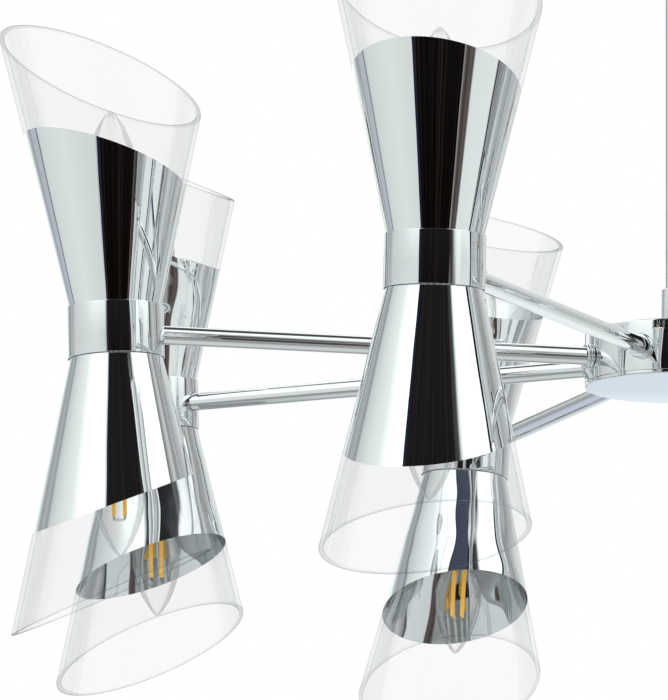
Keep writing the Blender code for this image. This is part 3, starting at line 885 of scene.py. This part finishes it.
def bar_mesh():
    """Ceiling mounting bar with rounded corners and two screw holes."""
    bm = bmesh.new()
    bmesh.ops.create_cube(bm, size=1.0)
    bmesh.ops.scale(bm, vec=(BAR_LENGTH, BAR_WIDTH, BAR_THICK), verts=bm.verts)
    upright = [e for e in bm.edges
               if abs(e.verts[0].co.z - e.verts[1].co.z) > BAR_THICK / 2]
    bmesh.ops.bevel(bm, geom=upright, offset=4 * MM, segments=5, affect='EDGES', profile=0.5)
    bar = add_object("bar_blank", mesh_of(bm, "bar"),
                     Matrix.Translation((0, 0, -BAR_THICK / 2)))
    end = 10 * MM
    hole = lathe("screw_hole", [(0, end), (BAR_HOLE_R, end), (BAR_HOLE_R, -end), (0, -end)], 32,
                 closed=False)
    cutters = [add_object("hole", hole, Matrix.Translation((side * BAR_HOLE_SPACING / 2, 0, 0)))
               for side in (-1, 1)]
    mesh = cut(bar, cutters)
    return with_material(mesh, "chrome")


def cut(obj, cutters):
    """Boolean-subtract the cutters and return the finished world-space mesh."""
    for cutter in cutters:
        modifier = obj.modifiers.new("cut", 'BOOLEAN')
        modifier.operation, modifier.solver, modifier.object = 'DIFFERENCE', 'EXACT', cutter
    bpy.context.view_layer.update()
    graph = bpy.context.evaluated_depsgraph_get()
    mesh = bpy.data.meshes.new_from_object(obj.evaluated_get(graph))
    mesh.transform(obj.matrix_world)
    for used in [obj, *cutters]:
        bpy.data.objects.remove(used)
    return smooth(mesh)


def canopy_mesh():
    inner, floor = CANOPY_R - CANOPY_WALL, -CANOPY_DEPTH
    grip_low = floor - GRIP_LENGTH
    corners = [(CANOPY_R, 0), (CANOPY_R, floor), (GRIP_R, floor), (GRIP_R, grip_low),
               (ROD_R + GAP, grip_low), (ROD_R + GAP, floor + CANOPY_WALL),
               (inner, floor + CANOPY_WALL), (inner, 0)]
    radii = [0.2 * MM, 4 * MM, 0.5 * MM, 0.6 * MM, 0.3 * MM, 0, 3 * MM, 0.2 * MM]
    return with_material(lathe("canopy", rounded(corners, radii, 8), 160), "chrome")


# ---------------------------------------------------------------- assembly

def place(name, mesh, matrix, body, slot, *nodes):
    piece = add_object(name, mesh, matrix)
    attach(piece, body)
    if nodes:
        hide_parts(*nodes)


def arm_matrix(number):
    """Arm frame from its joint: X along the arm, Z as near up as the arm's set angle leaves it."""
    joint = JOINTS[f"arm_{number}_turn"]
    x = Vector(joint["axis"]).normalized()
    z = shade_axis(number)
    y = z.cross(x).normalized()
    matrix = Matrix((x, y, x.cross(y))).transposed().to_4x4()
    matrix.translation = Vector(joint["pos_m"])
    return matrix


def shade_axis(number):
    return Vector(JOINTS[f"upper_lamp_{number}_unscrew"]["axis"]).normalized()


def shade_matrix(number):
    """Shade frame: the two lamps' joints lie either side of the collar's centre."""
    upper = Vector(JOINTS[f"upper_lamp_{number}_unscrew"]["pos_m"])
    lower = Vector(JOINTS[f"lower_lamp_{number}_unscrew"]["pos_m"])
    z = shade_axis(number)
    y = z.cross(Vector(JOINTS[f"arm_{number}_turn"]["axis"])).normalized()
    matrix = Matrix((y.cross(z), y, z)).transposed().to_4x4()
    matrix.translation = (upper + lower) / 2
    return matrix


def build_unit(number, meshes):
    body = f"arm_{number}_unit"
    arm, shade = arm_matrix(number), shade_matrix(number)
    place(f"arm_tube_{number}", meshes["arm"], arm, body, "chrome", f"arm_{number}")
    blank = add_object("collar_blank", meshes["collar"].copy(), shade)
    collar = cut(blank, [add_object("bore", drill(COLLAR_DRILL), arm)])
    place(f"collar_ring_{number}", collar, Matrix.Identity(4), body, "chrome", f"collar_{number}")
    coat = "wavy_plating" if number in WAVY_UNITS else "plating"
    for side, turn, flip in zip(("upper", "lower"), GLASS_TURN[number - 1],
                                (Matrix.Identity(4), UPSIDE_DOWN)):
        half = shade @ flip
        glass_frame = shade @ turned('Z', turn) @ flip
        glass = meshes["glass"].copy()
        glass.transform(glass_frame)
        place(f"{side}_glass_{number}", glass, Matrix.Identity(4), body, "shade_glass",
              f"{side}_shade_{number}")
        place(f"{side}_mirror_coat_{number}", meshes[coat], glass_frame, body, "mirror_plating")
        replaced = [f"lampholders_{number}"] if side == "upper" else []
        place(f"{side}_lampholder_{number}", meshes["holder"], half, body, "holder_plastic",
              *replaced)
        place(f"{side}_shade_ring_{number}", meshes["ring"], half, body, "holder_plastic")
        build_lamp(side, number, meshes, half)


def build_lamp(side, number, meshes, matrix):
    """A lamp, screwed in so that its strips face the same way all round, give or take a few
    degrees."""
    body = f"{side}_lamp_{number}_unit"
    heading = math.degrees(math.atan2(matrix.col[0].y, matrix.col[0].x))
    jitter = 12 * math.sin(2.3 * number)
    spin = matrix @ turned('Z', (-heading if side == "upper" else heading) + jitter)
    place(f"{side}_bulb_{number}", meshes["bulb"], spin, body, "lamp_glass",
          f"{side}_lamp_{number}")
    place(f"{side}_cap_{number}", meshes["cap"], spin, body, "cap_metal")
    place(f"{side}_stem_{number}", meshes["stem"], spin, body, "lamp_glass")
    place(f"{side}_filaments_{number}", meshes["filaments"], spin, body, "filament")


def build_hub():
    at_hub = Matrix.Translation(HUB_CENTRE)
    blank = add_object("drum_blank", hub_drum_mesh(), at_hub)
    drum = cut(blank, [add_object("hole", drill(WALL_DRILL), arm_matrix(number))
                       for number in ARMS])
    place("hub_drum", drum, Matrix.Identity(4), "hub", "chrome", "hub_housing")
    place("hub_cover_disc", hub_cover_mesh(), at_hub, "hub", "chrome", "hub_cover")
    place("rod_and_ferrule", rod_mesh(), Matrix.Identity(4), "suspension", "chrome",
          "suspension_rod")
    place("mounting_bar", bar_mesh(), Matrix.Identity(4), "suspension", "chrome")
    place("canopy_cup", canopy_mesh(), Matrix.Identity(4), "canopy", "chrome", "ceiling_canopy")


def build():
    bpy.context.scene.view_settings.view_transform = 'Standard'
    cycles = bpy.context.scene.cycles
    cycles.max_bounces, cycles.glossy_bounces = BOUNCES, GLOSSY_BOUNCES
    cycles.transparent_max_bounces = CLEAR_BOUNCES
    meshes = {"arm": arm_mesh(), "collar": collar_mesh(), "glass": glass_mesh(),
              "plating": plating_mesh("plating"), "wavy_plating": plating_mesh("wavy_plating"),
              "holder": lampholder_mesh(), "ring": shade_ring_mesh(), "bulb": bulb_mesh(),
              "cap": joined("cap", cap_meshes()), "stem": joined("stem", stem_meshes()),
              "filaments": filament_mesh()}
    for number in ARMS:
        build_unit(number, meshes)
    build_hub()


add_camera()
build_surround()
build_stage()
build()
